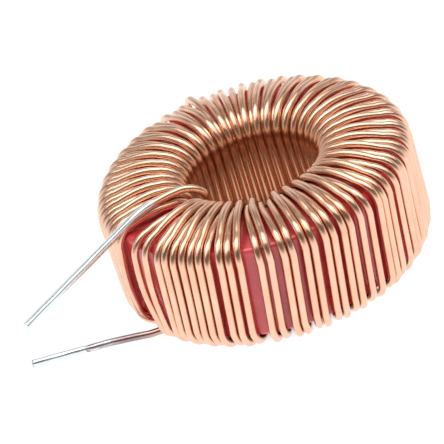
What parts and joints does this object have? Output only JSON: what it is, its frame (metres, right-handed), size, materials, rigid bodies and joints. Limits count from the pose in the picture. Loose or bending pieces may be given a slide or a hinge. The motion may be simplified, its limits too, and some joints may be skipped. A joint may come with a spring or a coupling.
{
  "type": "toroidal inductor",
  "caption": "Ring-core choke: enamelled copper wire wound all round a coated ring, with two tinned wire leads and an open centre hole.",
  "frame": {"origin": "on the coil's axis, in the plane that the coil rests on", "axes": "+Z along the centre hole, upwards; the two leads leave towards -X"},
  "size_m": [0.047, 0.039, 0.0152],
  "materials": {
    "iron_powder": "pressed powder, matt dark grey",
    "red_epoxy": "glossy red epoxy coating",
    "enamelled_copper": "drawn copper under clear amber enamel",
    "solder": "bright tin solder"
  },
  "bodies": {
    "root": {"magnetic_core": "iron_powder", "core_coating": "red_epoxy", "winding": "enamelled_copper", "upper_lead_tin": "solder", "lower_lead_tin": "solder"}
  },
  "joints": []
}
